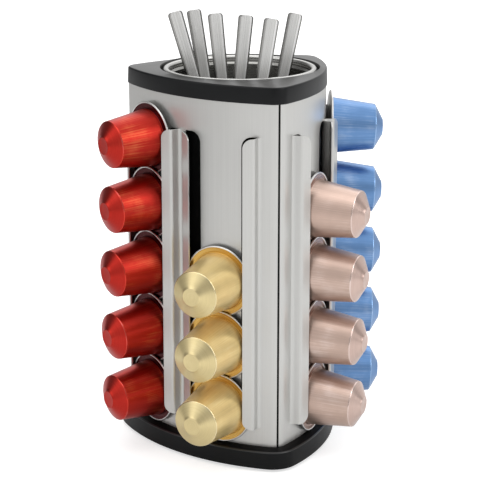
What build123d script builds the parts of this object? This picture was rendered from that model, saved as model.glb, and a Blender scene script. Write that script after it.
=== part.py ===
"""Coffee capsule holder: a three-sided steel tower on a turntable, capsules in rails, spoons in a cup.

Millimetres, +Z up. The origin is on the tower's axis, at the height of the surface that it stands on.
The front panel faces -Y. The other panels and corners repeat it every 120 degrees.
"""
from build123d import *
import os
from math import asin, cos, degrees, radians, sin, sqrt, tan

# Capsules: a rolled flange, a tapered body, and a cone that ends in a flat nub
FLANGE_RADIUS = 18.5
FLANGE_THICK = 1.1
FLANGE_EDGE = 0.45
BODY_RADIUS = 14.8
SHOULDER_RADIUS = 12.0
SHOULDER_AT = 24.1
SHOULDER_ROUND = 0.5
NUB_RADIUS = 4.7
NUB_RISE = 0.5
CAPSULE_LENGTH = 28.4
SHELL_WALL = 0.5
LID_RADIUS = 17.4
LID_THICK = 0.3
CAPSULE_GAP = 0.33
CAPSULES_PER_COLUMN = 5
LOADED_COUNT = {"red": 5, "gold": 3, "rose": 4, "blue": 5}

# Steel panels, and the rails lanced from them
SHEET = 0.7
SIDE_RADIUS = 106.0
CORNER_RADIUS = 8.0
SEAM = 1.1
BEND = 1.2
ROOT_BEND = 2.2
FLANGE_OFF_PANEL = 1.6
LIP_GAP = 0.35
LIP_TILT = 25.0
RAIL_SIDE_GAP = 1.4
LIP_BODY_GAP = 0.5
LIP_CORNER = 4.6
SLOT_INSIDE_LIP = 3.7
SLOT_CORNER = 5.5
RAIL_BELOW = 8.8
RAIL_ABOVE = 7.2
STRIP_WIDTH = 4.9
EDGE_LAND = 5.7
CUT_REACH = 10.6

# Top rim
RIM_HEADROOM = 5.3
RIM_HEIGHT = 8.3
RIM_PLATE = 3.8
RIM_OVERHANG = 0.5
RIM_OVERHANG_TOP = 0.2
RIM_ROUND = 1.0
RIM_CROWN = 1.9
RIM_LAND = 0.4
RING_SEAT = 1.6
HOLE_GAP = 0.9

# Well tube and spoon cup
WELL_TO_PANEL = 2.1
WELL_WALL = 2.0
RING_GAP = 1.5
RING_TUBE = 1.5
CUP_WALL = 0.7
CUP_STEP = 1.0
CUP_STEP_BELOW = 0.4
CUP_DEPTH = 97.5
CUP_FLOOR_ROUND = 5.0

# Base, turntable and its fasteners
GRIP_DEPTH = 0.6
FLOOR_GAP = 1.0
BASE_LIFT = 1.5
BASE_LEDGE = 6.2
BASE_DRAFT = 1.0
BASE_WALL_TOP = 10.4
LEDGE_Z = 11.4
LEDGE_ROUND = 0.9
BASE_SKIRT = 3.0
UPSTAND = 4.2
FLOOR_PLATE = 3.0
FOOT_GAP = 3.5
FOOT_THICK = 3.0
GRIP_INSET = 2.0
GLIDE_THICK = 1.5
GLIDE_WIDTH = 6.0
GLIDE_INSET = 7.0
HUB_RADIUS = 8.0
HUB_FIT = 0.05
HUB_PROUD = 0.1
WASHER_RADIUS = 12.0
WASHER_THICK = 1.2
SCREW_RADIUS = 2.0
SCREW_HEAD_RADIUS = 3.6
SCREW_HEAD = 2.2
PIVOT_SCREW_LENGTH = 7.5
BASE_SCREW_LENGTH = 24.0
BASE_SCREW_AT = 50.0

# Black posts behind the seams
POST_HALF_WIDTH = 6.0
SEAM_RECESS = 0.5

# Spoons, each in its own upright plane across the cup
FAN_ANGLE = 41.0
SPOON_LENGTH = 125.5
HANDLE_WIDTH = 7.7
HANDLE_NECK = 5.4
HANDLE_THICK = 1.8
HANDLE_ROUND = 1.6
BOWL_LENGTH = 27.0
BOWL_WIDTH = 16.0
BOWL_RISE = 3.87
BOWL_DROP = 1.5
BOWL_WALL = 1.0
SPOON_SEAT = 0.4
# Distance across the cup at its ring, lean from upright, depth in the cup, height above the cup's floor
SPOONS = [
    (-25.7, -15.8, 3.8, 3.8),
    (-19.8, -9.0, 16.0, 0.0),
    (-9.9, -5.7, -5.0, 0.0),
    (0.4, 5.5, -12.0, 0.0),
    (11.8, 8.5, -19.0, 0.0),
    (23.5, 11.1, 8.0, 0.0),
]

# Places worked out from the sizes above
TURN = 120.0
HALF_TURN = TURN / 2
CORNER_BEARING = -30.0
PITCH = FLANGE_RADIUS + BODY_RADIUS + CAPSULE_GAP
DROOP = degrees(asin((FLANGE_THICK + CAPSULE_GAP) / PITCH))
FIRST_CENTRE = LEDGE_Z + CAPSULE_GAP + FLANGE_RADIUS * cos(radians(DROOP))
LAST_CENTRE = FIRST_CENTRE + (CAPSULES_PER_COLUMN - 1) * PITCH

RISER_INNER = FLANGE_RADIUS + RAIL_SIDE_GAP
RISER_OUTER = RISER_INNER + SHEET
LIP_FREE = BODY_RADIUS + LIP_BODY_GAP
SLOT_EDGE = LIP_FREE - SLOT_INSIDE_LIP
LIP_LEVEL = FLANGE_OFF_PANEL + FLANGE_THICK + LIP_GAP
LIP_RISE = SHEET / cos(radians(LIP_TILT))
RAIL_LOW = FIRST_CENTRE - RAIL_BELOW
RAIL_TOP = LAST_CENTRE + RAIL_ABOVE

COLUMN_ANGLE = degrees((RISER_OUTER + STRIP_WIDTH / 2) / SIDE_RADIUS)
PANEL_END_ANGLE = COLUMN_ANGLE + degrees((RISER_OUTER + EDGE_LAND) / SIDE_RADIUS)
CORNER_CENTRE = (SIDE_RADIUS - CORNER_RADIUS) * sin(radians(PANEL_END_ANGLE)) / cos(radians(CORNER_BEARING))
ARC_CENTRE = (SIDE_RADIUS - CORNER_RADIUS) * cos(radians(PANEL_END_ANGLE)) - CORNER_CENTRE / 2
PANEL_MID = SIDE_RADIUS - ARC_CENTRE

RIM_LOW = LAST_CENTRE + FLANGE_RADIUS + RIM_HEADROOM
RIM_TOP = RIM_LOW + RIM_HEIGHT
CROWN_TOP = RIM_TOP + RIM_CROWN
PANEL_TOP = RIM_TOP - RIM_PLATE
RING_FLOOR = RIM_TOP - RING_SEAT

WELL_RADIUS = PANEL_MID - SHEET - WELL_TO_PANEL
RING_RADIUS = WELL_RADIUS - RING_GAP
CUP_RADIUS = RING_RADIUS - 2 * RING_TUBE + CUP_WALL
RING_TOP = RING_FLOOR + 2 * RING_TUBE
CUP_FLOOR = RING_TOP - CUP_DEPTH

FOOT_TOP = FLOOR_GAP + FOOT_THICK
POCKET_TOP = FOOT_TOP + GLIDE_THICK
WELL_FLOOR = POCKET_TOP + FLOOR_PLATE
UPSTAND_TOP = LEDGE_Z + UPSTAND
FOOT_RADIUS = PANEL_MID + BASE_LEDGE - BASE_SKIRT - FOOT_GAP
HUB_TOP = WELL_FLOOR + HUB_PROUD
FAR = 4 * PANEL_MID


def turned(x, y, angle):
    """The point (x, y) turned about the tower's axis."""
    a = radians(angle)
    return (x * cos(a) - y * sin(a), x * sin(a) + y * cos(a))


def three_sided(end, middle, tip):
    """A face from one side's right end and middle and the next corner's tip, repeated every 120 degrees."""
    edges = []
    for k in range(3):
        left = turned(-end[0], end[1], k * TURN)
        right = turned(end[0], end[1], k * TURN)
        following = turned(-end[0], end[1], (k + 1) * TURN)
        edges.append(ThreePointArc(left, turned(*middle, k * TURN), right))
        edges.append(ThreePointArc(right, turned(*tip, k * TURN), following))
    return make_face(edges)


def side_end(offset=0.0):
    """The front side's right end, where the corner's arc begins."""
    side = SIDE_RADIUS + offset
    a = radians(PANEL_END_ANGLE)
    return (side * sin(a), ARC_CENTRE - side * cos(a))


def outline(offset=0.0):
    """The tower's rounded three-sided outline as a face, offset outward from the panels' outer faces."""
    corner = CORNER_CENTRE + CORNER_RADIUS + offset
    return three_sided(side_end(offset), (0.0, -PANEL_MID - offset), turned(corner, 0.0, CORNER_BEARING))


def round_outline(radius):
    """A circle as a face whose edges meet at the same bearings as the outline's."""
    x, y = side_end()
    reach = sqrt(x**2 + y**2)
    tip = turned(radius, 0.0, CORNER_BEARING)
    return three_sided((x / reach * radius, y / reach * radius), (0.0, -radius), tip)


def prism(offset, low, high):
    """The outline drawn straight up from one height to another."""
    return extrude(Pos(0, 0, low) * outline(offset), high - low, dir=(0, 0, 1))


def drafted(offset_low, low, offset_high, high):
    """The outline drawn up between two heights while its offset changes."""
    return loft([Pos(0, 0, low) * outline(offset_low), Pos(0, 0, high) * outline(offset_high)])


def tube(outer, inner, low, high):
    """An upright ring about the tower's axis."""
    ring = Circle(outer) - Circle(inner)
    return extrude(Pos(0, 0, low) * ring, high - low, dir=(0, 0, 1))


def rod(radius, low, high, x=0.0, y=0.0):
    """An upright round bar."""
    return extrude(Pos(x, y, low) * Circle(radius), high - low, dir=(0, 0, 1))


def corner_strip(half_width, low, high):
    """A plank along the first corner's direction, from the axis outward."""
    plank = Pos(FAR / 2, 0, (low + high) / 2) * Box(FAR, 2 * half_width, high - low)
    return Rot(0, 0, CORNER_BEARING) * plank


def corner_point(distance, k):
    """A point on corner k's direction, at a distance from the axis."""
    return turned(distance, 0.0, k * TURN + CORNER_BEARING)


def column_plane(side, height):
    """A plane at a front-panel column: its x runs along the sheet, its y up, and its z outward."""
    a = radians(side * COLUMN_ANGLE)
    normal = Vector(sin(a), -cos(a), 0)
    middle = Vector(0, ARC_CENTRE, 0) + normal * SIDE_RADIUS
    return Plane(middle + Vector(0, 0, height), x_dir=(cos(a), sin(a), 0), z_dir=normal)


def section_plane(side, height):
    """A level plane at a front-panel column: its x runs along the sheet and its y outward."""
    face = column_plane(side, height)
    return Plane(face.origin, x_dir=face.x_dir, z_dir=(0, 0, -1))


def tongue(inner, outer, corner):
    """An upright flat between two distances from the column's middle, its inner corners rounded."""
    flat = Pos((inner + outer) / 2, (RAIL_LOW + RAIL_TOP) / 2) * Rectangle(outer - inner, RAIL_TOP - RAIL_LOW)
    near = flat.vertices().sort_by(Axis.X)[:2]
    return fillet(near, corner)


def sheet_height(along):
    """How far the curved panel stands from the column's tangent plane."""
    return sqrt(SIDE_RADIUS**2 - along**2) - SIDE_RADIUS


def lip_height(along):
    """How far the tilted lip's inner face stands from the column's tangent plane."""
    return LIP_LEVEL + (FLANGE_RADIUS - along) * tan(radians(LIP_TILT))


def rail_section():
    """The bent rail's cross-section: a foot in the sheet, a riser, and a tilted lip over the flange."""
    foot = RISER_OUTER + 2 * ROOT_BEND
    outer_corner = (RISER_OUTER, lip_height(RISER_OUTER) + LIP_RISE)
    inner_corner = (RISER_INNER, lip_height(RISER_INNER))
    root_corner = (RISER_OUTER, sheet_height(RISER_OUTER))
    points = [
        (RISER_INNER, sheet_height(RISER_INNER) - SHEET / 2),
        (foot, sheet_height(foot) - SHEET / 2),
        (foot, sheet_height(foot)),
        root_corner,
        outer_corner,
        (LIP_FREE, lip_height(LIP_FREE) + LIP_RISE),
        (LIP_FREE, lip_height(LIP_FREE)),
        inner_corner,
    ]
    face = make_face(Polyline(*points, close=True))
    for corner, radius in ((outer_corner, BEND + SHEET), (inner_corner, BEND), (root_corner, ROOT_BEND)):
        vertex = face.vertices().sort_by_distance((*corner, 0))[0]
        face = fillet(vertex, radius)
    return face


def rail(side, hand):
    """One rail of a front-panel column, on its right (hand 1) or left (hand -1)."""
    section = rail_section()
    trim = tongue(LIP_FREE, RISER_OUTER + 3 * ROOT_BEND, LIP_CORNER)
    if hand < 0:
        section = mirror(section, about=Plane.YZ)
        trim = mirror(trim, about=Plane.YZ)
    bar = extrude(section_plane(side, RAIL_TOP) * section, RAIL_TOP - RAIL_LOW, dir=(0, 0, -1))
    cutter = extrude(column_plane(side, 0) * trim, CUT_REACH, both=True)
    return bar & cutter


def slot(side, hand):
    """The opening that a rail's metal was lanced from."""
    face = tongue(SLOT_EDGE, RISER_INNER, SLOT_CORNER)
    if hand < 0:
        face = mirror(face, about=Plane.YZ)
    return extrude(column_plane(side, 0) * face, CUT_REACH, both=True)


def front_panel():
    """A bowed steel sheet whose four rails hold two columns of capsules."""
    skin = prism(0, LEDGE_Z, PANEL_TOP) - prism(-SHEET, LEDGE_Z, PANEL_TOP)
    apex = (0, -SEAM / 2 / sin(radians(HALF_TURN)))
    reach = (FAR * sin(radians(HALF_TURN)), FAR * cos(radians(HALF_TURN)))
    wedge = Polyline(apex, (-reach[0], apex[1] - reach[1]), (reach[0], apex[1] - reach[1]), close=True)
    panel = skin & extrude(Pos(0, 0, LEDGE_Z) * make_face(wedge), PANEL_TOP - LEDGE_Z, dir=(0, 0, 1))
    for side in (-1, 1):
        for hand in (-1, 1):
            panel = panel - slot(side, hand)
    for side in (-1, 1):
        for hand in (-1, 1):
            panel = panel + rail(side, hand)
    return panel


def corner_post():
    """A black post in the first corner, whose tongue fills the seam between two panels."""
    body = prism(-SHEET, UPSTAND_TOP, PANEL_TOP) & corner_strip(POST_HALF_WIDTH, UPSTAND_TOP, PANEL_TOP)
    seam = prism(-SEAM_RECESS, UPSTAND_TOP, PANEL_TOP) & corner_strip(SEAM / 2, UPSTAND_TOP, PANEL_TOP)
    post = body + seam - rod(WELL_RADIUS, UPSTAND_TOP, PANEL_TOP)
    x, y = corner_point(BASE_SCREW_AT, 0)
    return post - rod(SCREW_RADIUS, UPSTAND_TOP, POCKET_TOP + BASE_SCREW_LENGTH, x, y)


def base():
    """The black plinth: a skirt over the turntable, a ledge for the capsules, a step for the panels."""
    wall = drafted(BASE_LEDGE, BASE_LIFT, BASE_LEDGE - BASE_DRAFT, BASE_WALL_TOP)
    ledge = drafted(BASE_LEDGE - BASE_DRAFT, BASE_WALL_TOP, 0.0, LEDGE_Z)
    plinth = wall + ledge + prism(-SHEET, LEDGE_Z, UPSTAND_TOP)
    rims = plinth.edges().filter_by(lambda e: abs(e.center().Z - BASE_WALL_TOP) < FLANGE_EDGE)
    plinth = fillet(rims, LEDGE_ROUND)
    plinth = plinth - prism(BASE_LEDGE - BASE_SKIRT, BASE_LIFT, POCKET_TOP)
    plinth = plinth - rod(WELL_RADIUS, WELL_FLOOR, UPSTAND_TOP)
    plinth = plinth - rod(HUB_RADIUS + HUB_FIT, POCKET_TOP, WELL_FLOOR)
    for k in range(3):
        x, y = corner_point(BASE_SCREW_AT, k)
        plinth = plinth - rod(SCREW_RADIUS, POCKET_TOP, UPSTAND_TOP, x, y)
    return plinth


def top_rim():
    """The black cap: a skirt over the panels' tops, a crown, and a stepped hole for the cup."""
    wall = drafted(RIM_OVERHANG, RIM_LOW, RIM_OVERHANG_TOP, RIM_TOP)
    foot_line = Pos(0, 0, RIM_TOP) * outline(RIM_OVERHANG_TOP)
    land = Pos(0, 0, CROWN_TOP) * round_outline(WELL_RADIUS + RIM_LAND)
    cap = wall + loft([foot_line, land], ruled=True)
    cap = fillet(cap.edges().filter_by(lambda e: abs(e.center().Z - RIM_TOP) < FLANGE_EDGE), RIM_ROUND)
    cap = cap - prism(0, RIM_LOW, PANEL_TOP)
    cap = cap - rod(WELL_RADIUS, RING_FLOOR, CROWN_TOP)
    return cap - rod(CUP_RADIUS + HOLE_GAP, PANEL_TOP, CROWN_TOP)


def foot():
    """The round turntable plate with its hub, and a recess for the grip pad."""
    plate = rod(FOOT_RADIUS, FLOOR_GAP, FOOT_TOP) + rod(HUB_RADIUS, FOOT_TOP, HUB_TOP)
    plate = plate - rod(FOOT_RADIUS - GRIP_INSET, FLOOR_GAP, FLOOR_GAP + GRIP_DEPTH)
    thread_end = HUB_TOP + WASHER_THICK - PIVOT_SCREW_LENGTH
    return plate - rod(SCREW_RADIUS, thread_end, HUB_TOP)


def grip_pad():
    """The rubber disc that the holder stands on."""
    return rod(FOOT_RADIUS - GRIP_INSET, 0.0, FLOOR_GAP + GRIP_DEPTH)


def glide_ring():
    """The slippery ring between the turntable plate and the plinth."""
    outer = FOOT_RADIUS - GLIDE_INSET
    return tube(outer, outer - GLIDE_WIDTH, FOOT_TOP, POCKET_TOP)


def pivot_washer():
    """The washer that keeps the plinth on the hub."""
    return tube(WASHER_RADIUS, SCREW_RADIUS, HUB_TOP, HUB_TOP + WASHER_THICK)


def pivot_screw():
    """The screw in the hub."""
    head_low = HUB_TOP + WASHER_THICK
    return rod(SCREW_RADIUS, head_low - PIVOT_SCREW_LENGTH, head_low) + rod(
        SCREW_HEAD_RADIUS, head_low, head_low + SCREW_HEAD
    )


def base_screws():
    """Three screws, up through the plinth into the corner posts."""
    screws = []
    for k in range(3):
        x, y = corner_point(BASE_SCREW_AT, k)
        shank = rod(SCREW_RADIUS, POCKET_TOP, POCKET_TOP + BASE_SCREW_LENGTH, x, y)
        screws.append(shank + rod(SCREW_HEAD_RADIUS, POCKET_TOP - SCREW_HEAD, POCKET_TOP, x, y))
    return Compound(children=screws)


def well_tube():
    """The black tube inside the panels, which the cup hangs in."""
    return tube(WELL_RADIUS, WELL_RADIUS - WELL_WALL, WELL_FLOOR, PANEL_TOP)


def spoon_cup():
    """The steel cup: a rolled ring, a short collar, a step inward, and a straight wall to a rounded floor."""
    collar_inner = CUP_RADIUS - CUP_WALL
    wall_outer = CUP_RADIUS - CUP_STEP
    wall_inner = wall_outer - CUP_WALL
    ring_z = RING_TOP - RING_TUBE
    step_top = RING_FLOOR - CUP_STEP_BELOW
    step_low = step_top - CUP_STEP
    under = CUP_FLOOR - CUP_WALL
    profile = Polyline(
        (0, under),
        (wall_outer, under),
        (wall_outer, step_low),
        (CUP_RADIUS, step_top),
        (CUP_RADIUS, ring_z),
        (collar_inner, ring_z),
        (collar_inner, step_top),
        (wall_inner, step_low),
        (wall_inner, CUP_FLOOR),
        (0, CUP_FLOOR),
        close=True,
    )
    face = make_face(profile)
    outer_foot = face.vertices().sort_by_distance((wall_outer, under, 0))[0]
    face = fillet(outer_foot, CUP_FLOOR_ROUND + CUP_WALL)
    inner_foot = face.vertices().sort_by_distance((wall_inner, CUP_FLOOR, 0))[0]
    face = fillet(inner_foot, CUP_FLOOR_ROUND)
    face = face + Pos(RING_RADIUS - RING_TUBE, ring_z) * Circle(RING_TUBE)
    return revolve(Plane.XZ * face, axis=Axis.Z)


def spoon_frame(across, lean, depth, lift):
    """The place of a spoon's lower end: its z runs up the handle and its y toward the viewer's side."""
    low = CUP_FLOOR + SPOON_SEAT + lift
    foot_across = across - (RING_TOP - low) * tan(radians(lean))
    return Rot(0, 0, FAN_ANGLE) * Pos(foot_across, depth, low) * Rot(0, lean, 0)


def spoon():
    """A small spoon standing on the tip of its bowl, which is cut from a sphere's shell."""
    half_bowl = BOWL_LENGTH / 2
    sphere = (half_bowl**2 + BOWL_RISE**2) / (2 * BOWL_RISE)
    root = half_bowl + sqrt(sphere**2 - (sphere - BOWL_DROP) ** 2)
    half_neck = HANDLE_NECK / 2
    half_top = HANDLE_WIDTH / 2
    shape = Polyline(
        (-half_neck, root),
        (half_neck, root),
        (half_top, SPOON_LENGTH),
        (-half_top, SPOON_LENGTH),
        close=True,
    )
    flat = make_face(shape)
    flat = fillet(flat.vertices().sort_by(Axis.Y)[-2:], HANDLE_ROUND)
    handle = extrude(Plane.XZ * flat, HANDLE_THICK / 2, both=True)
    rim = Pos(0, half_bowl) * Ellipse(BOWL_WIDTH / 2, half_bowl)
    toward = extrude(Plane.XZ * rim, sphere, dir=(0, -1, 0))
    away = extrude(Plane.XZ * rim, sphere / 2, dir=(0, 1, 0))
    shell = Sphere(sphere + BOWL_WALL / 2) - Sphere(sphere - BOWL_WALL / 2)
    bowl = (toward + away) & (Pos(0, sphere - BOWL_DROP, half_bowl) * shell)
    return bowl + handle


def capsule_profile():
    """Half of a capsule's shell, with its axis along Y and the flange's back at zero."""
    inner_body = BODY_RADIUS - SHELL_WALL
    inner_shoulder = SHOULDER_RADIUS - SHELL_WALL
    nub_low = CAPSULE_LENGTH - NUB_RISE
    outer = [
        (LID_RADIUS, 0),
        (FLANGE_RADIUS, 0),
        (FLANGE_RADIUS, FLANGE_THICK),
        (BODY_RADIUS, FLANGE_THICK),
        (SHOULDER_RADIUS, SHOULDER_AT),
        (NUB_RADIUS, nub_low),
        (NUB_RADIUS, CAPSULE_LENGTH),
        (0, CAPSULE_LENGTH),
    ]
    inner = [
        (0, CAPSULE_LENGTH - SHELL_WALL - NUB_RISE),
        (NUB_RADIUS, nub_low - SHELL_WALL),
        (inner_shoulder, SHOULDER_AT - SHELL_WALL),
        (inner_body, LID_THICK),
        (LID_RADIUS, LID_THICK),
    ]
    face = make_face(Polyline(*outer, *inner, close=True))
    shoulder = face.vertices().sort_by_distance((SHOULDER_RADIUS, SHOULDER_AT, 0))[0]
    face = fillet(shoulder, SHOULDER_ROUND)
    for edge in ((FLANGE_RADIUS, 0, 0), (FLANGE_RADIUS, FLANGE_THICK, 0)):
        face = fillet(face.vertices().sort_by_distance(edge)[0], FLANGE_EDGE)
    return face


def capsule():
    """An aluminium capsule shell standing on its flange."""
    return revolve(Plane.XZ * capsule_profile(), axis=Axis.Z)


def lid():
    """The foil lid, flush in the back of the flange."""
    return rod(LID_RADIUS, 0, LID_THICK)


def capsule_place(panel_turn, side, number):
    """Where a capsule hangs: the flange's back leans by the droop, so the flanges lap like tiles."""
    height = FIRST_CENTRE + number * PITCH
    face = column_plane(side, height)
    out = Plane(face.origin + face.z_dir * FLANGE_OFF_PANEL, x_dir=face.x_dir, z_dir=face.z_dir)
    return Rot(0, 0, panel_turn) * out.location * Rot(DROOP, 0, 0)


def save(shape, name):
    """Write one piece under its own name."""
    shape.label = name
    export_step(shape, f"parts/{name}.step")


os.makedirs("parts", exist_ok=True)

save(base(), "base")
save(top_rim(), "top_rim")
save(foot(), "turntable_foot")
save(grip_pad(), "grip_pad")
save(glide_ring(), "glide_ring")
save(pivot_washer(), "pivot_washer")
save(pivot_screw(), "pivot_screw")
save(base_screws(), "base_screws")
save(well_tube(), "well_tube")
save(spoon_cup(), "spoon_cup")

panel = front_panel()
for k, name in enumerate(("front", "right", "back")):
    save(Rot(0, 0, k * TURN) * panel, f"panel_{name}")

post = corner_post()
for k, name in enumerate(("front_right", "back", "front_left")):
    save(Rot(0, 0, k * TURN) * post, f"post_{name}")

one_spoon = spoon()
for number, stance in enumerate(SPOONS, 1):
    save(spoon_frame(*stance) * one_spoon, f"spoon_{number}")

COLUMNS = {"red": (0.0, -1), "gold": (0.0, 1), "rose": (TURN, -1), "blue": (TURN, 1)}
one_capsule = capsule()
one_lid = lid()
for colour, (panel_turn, side) in COLUMNS.items():
    for number in range(LOADED_COUNT[colour]):
        place = capsule_place(panel_turn, side, number)
        save(place * one_capsule, f"capsule_{colour}_{number + 1}")
        save(place * one_lid, f"lid_{colour}_{number + 1}")
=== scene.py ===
"""Coffee capsule holder: its looks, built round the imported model.

Shapes are drawn in millimetres and stored in metres, in the solids' own frame, with +Z up.
"""
from math import acos, asin, cos, degrees, hypot, pi, radians, sin, sqrt, tan

import bmesh
import bpy
from mathutils import Matrix, Vector


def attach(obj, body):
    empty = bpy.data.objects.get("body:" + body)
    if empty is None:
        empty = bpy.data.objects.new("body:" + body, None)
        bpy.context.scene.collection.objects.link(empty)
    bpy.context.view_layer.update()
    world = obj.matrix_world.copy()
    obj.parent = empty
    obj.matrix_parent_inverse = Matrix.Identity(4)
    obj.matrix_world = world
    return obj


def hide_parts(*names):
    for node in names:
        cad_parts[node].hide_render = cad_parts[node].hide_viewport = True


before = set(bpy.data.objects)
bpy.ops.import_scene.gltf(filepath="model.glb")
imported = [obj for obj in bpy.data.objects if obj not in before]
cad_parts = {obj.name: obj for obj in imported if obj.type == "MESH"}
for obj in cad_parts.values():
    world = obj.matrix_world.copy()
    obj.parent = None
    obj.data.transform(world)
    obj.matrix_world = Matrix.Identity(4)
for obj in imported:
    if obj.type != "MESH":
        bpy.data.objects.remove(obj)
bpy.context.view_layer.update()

MM = 0.001
TINY = 1e-6
ROUND_STEPS = 6

# Capsules
FLANGE_RADIUS = 18.5
FLANGE_THICK = 1.1
BODY_RADIUS = 14.8
SHOULDER_RADIUS = 12.0
SHOULDER_AT = 24.1
NUB_RADIUS = 4.7
NUB_STEP = 0.35
CAPSULE_LENGTH = 28.4
CAPSULE_GAP = 0.33
CAPSULES_PER_COLUMN = 5
LOADED = {"red": 5, "gold": 3, "rose": 4, "blue": 5}
FLANGE_OFF_PANEL = 1.6
CURL_RADIUS = 0.55
CURL_SWEEP = 1.08 * pi
CURL_STEPS = 10
BODY_STEPS = 8
CROWN_REACH = 1.0
CROWN_ROUND = 0.6
CROWN_STEPS = 5
CONE_STEPS = 6
NUB_SKIRT = 0.5
NUB_SKIRT_DROP = 0.1
CAPSULE_SEGMENTS = 96

# Panels and rails
SHEET = 0.7
SIDE_RADIUS = 106.0
CORNER_RADIUS = 8.0
SEAM = 1.1
BEND = 1.2
ROOT_BEND = 2.2
LIP_GAP = 0.35
LIP_TILT = 25.0
RAIL_SIDE_GAP = 1.4
LIP_BODY_GAP = 0.5
LIP_CORNER = 4.6
SLOT_INSIDE_LIP = 3.7
SLOT_CORNER = 5.5
RAIL_BELOW = 8.8
RAIL_ABOVE = 7.2
STRIP = 4.9
EDGE_LAND = 5.7
ROOT_MARK = 1.5
SHEET_EASE = 0.16
SLOT_CUTS = 8
LIP_CUTS = 9
MIDDLE_CUTS = 4
SEAM_STEPS = 10
SHORTEST_CUT = 0.05

# Rim, well and cup
RIM_HEADROOM = 5.3
RIM_HEIGHT = 8.3
RIM_PLATE = 3.8
RIM_OVERHANG = 0.5
RIM_OVERHANG_TOP = 0.2
RIM_ROUND = 1.0
RIM_CROWN = 1.5
RIM_LAND = 0.4
RIM_FOOT_LAND = 0.3
RIM_FOOT_ROUND = 0.2
RIM_TOP_RUN = 1.6
RIM_TOP_RISE = 0.25
HOLE_EDGE_CUT = 0.09
HOLE_EDGE_DROP = 0.3
RING_SEAT = 1.6
HOLE_GAP = 0.9
WELL_TO_PANEL = 2.1
WELL_WALL = 2.0
WELL_SEGMENTS = 120
RING_GAP = 1.5
RING_TUBE = 1.5
CUP_WALL = 0.7
CUP_STEP = 1.0
CUP_STEP_BELOW = 0.4
CUP_DEPTH = 97.5
CUP_FLOOR_ROUND = 5.0
CUP_STEP_ROUND = 0.6
CUP_STEP_ROUND_IN = 0.5
CUP_TUCK = 1.0
CUP_TUCK_IN = 0.8
CUP_SEGMENTS = 128
BEAD_START = -2.2
BEAD_END = pi + 0.35
BEAD_STEPS = 18

# Base
BASE_LIFT = 1.5
BASE_LEDGE = 6.2
BASE_DRAFT = 1.0
BASE_WALL_TOP = 10.4
LEDGE_Z = 11.4
LEDGE_ROUND = 0.9
LEDGE_RUN_OUT = 0.4
LEDGE_FALL = 0.05
BASE_FOOT_LAND = 0.6
BASE_FOOT_ROUND = 0.4
BASE_SKIRT = 3.0
UPSTAND = 4.2
POCKET_TOP = 5.5
WELL_FLOOR = 8.5
HUB_HOLE = 8.05

# Spoons
FAN_ANGLE = 41.0
SPOON_LENGTH = 125.5
HANDLE_WIDTH = 7.7
HANDLE_NECK = 5.4
HANDLE_THICK = 1.8
HANDLE_ROUND = 1.6
HANDLE_CHAMFER = 0.75
HANDLE_CHAMFER_SHARE = 0.3
HANDLE_CROWN = 0.25
BOWL_LENGTH = 27.0
BOWL_WIDTH = 16.0
BOWL_SPHERE = 25.5
BOWL_DEEP = 1.5
BOWL_WALL = 1.0
BOWL_NECK = 2.0
BOWL_NECK_LAP = 1.0
BOWL_FADE = 4.0
BOWL_FADE_LENGTH = 9.0
HANDLE_START = BOWL_LENGTH - 1.5
LEAST_HALF_WIDTH = 0.25
TIP_SETBACK = 0.02
SPOON_SEAT = 0.4
# Each spoon's place across the fan at the ring, sideways lean, depth in the cup and lift off its floor
SPOONS = [
    (-25.7, -15.8, 3.8, 3.8),
    (-19.8, -9.0, 16.0, 0.0),
    (-9.9, -5.7, -5.0, 0.0),
    (0.4, 5.5, -12.0, 0.0),
    (11.8, 8.5, -19.0, 0.0),
    (23.5, 11.1, 8.0, 0.0),
]

# Places worked out from the sizes above
TURN = 120.0
CORNER_BEARING = -30.0
PITCH = FLANGE_RADIUS + BODY_RADIUS + CAPSULE_GAP
DROOP = degrees(asin((FLANGE_THICK + CAPSULE_GAP) / PITCH))
FIRST_CENTRE = LEDGE_Z + CAPSULE_GAP + FLANGE_RADIUS * cos(radians(DROOP))
LAST_CENTRE = FIRST_CENTRE + (CAPSULES_PER_COLUMN - 1) * PITCH
RISER_INNER = FLANGE_RADIUS + RAIL_SIDE_GAP
RISER_OUTER = RISER_INNER + SHEET
LIP_FREE = BODY_RADIUS + LIP_BODY_GAP
SLOT_EDGE = LIP_FREE - SLOT_INSIDE_LIP
LIP_LEVEL = FLANGE_OFF_PANEL + FLANGE_THICK + LIP_GAP + SHEET / cos(radians(LIP_TILT))
RAIL_LOW = FIRST_CENTRE - RAIL_BELOW
RAIL_TOP = LAST_CENTRE + RAIL_ABOVE
COLUMN_ANGLE = degrees((RISER_OUTER + STRIP / 2) / SIDE_RADIUS)
PANEL_END_ANGLE = COLUMN_ANGLE + degrees((RISER_OUTER + EDGE_LAND) / SIDE_RADIUS)
CORNER_CENTRE = (SIDE_RADIUS - CORNER_RADIUS) * sin(radians(PANEL_END_ANGLE)) / cos(radians(CORNER_BEARING))
CORNER_X = CORNER_CENTRE * cos(radians(CORNER_BEARING))
CORNER_Y = -CORNER_CENTRE / 2
ARC_CENTRE = (SIDE_RADIUS - CORNER_RADIUS) * cos(radians(PANEL_END_ANGLE)) + CORNER_Y
PANEL_MID = SIDE_RADIUS - ARC_CENTRE
RIM_LOW = LAST_CENTRE + FLANGE_RADIUS + RIM_HEADROOM
RIM_TOP = RIM_LOW + RIM_HEIGHT
CROWN_TOP = RIM_TOP + RIM_CROWN
PANEL_TOP = RIM_TOP - RIM_PLATE
RING_FLOOR = RIM_TOP - RING_SEAT
WELL_RADIUS = PANEL_MID - SHEET - WELL_TO_PANEL
RING_RADIUS = WELL_RADIUS - RING_GAP
CUP_RADIUS = RING_RADIUS - 2 * RING_TUBE + CUP_WALL
RING_TOP = RING_FLOOR + 2 * RING_TUBE
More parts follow.
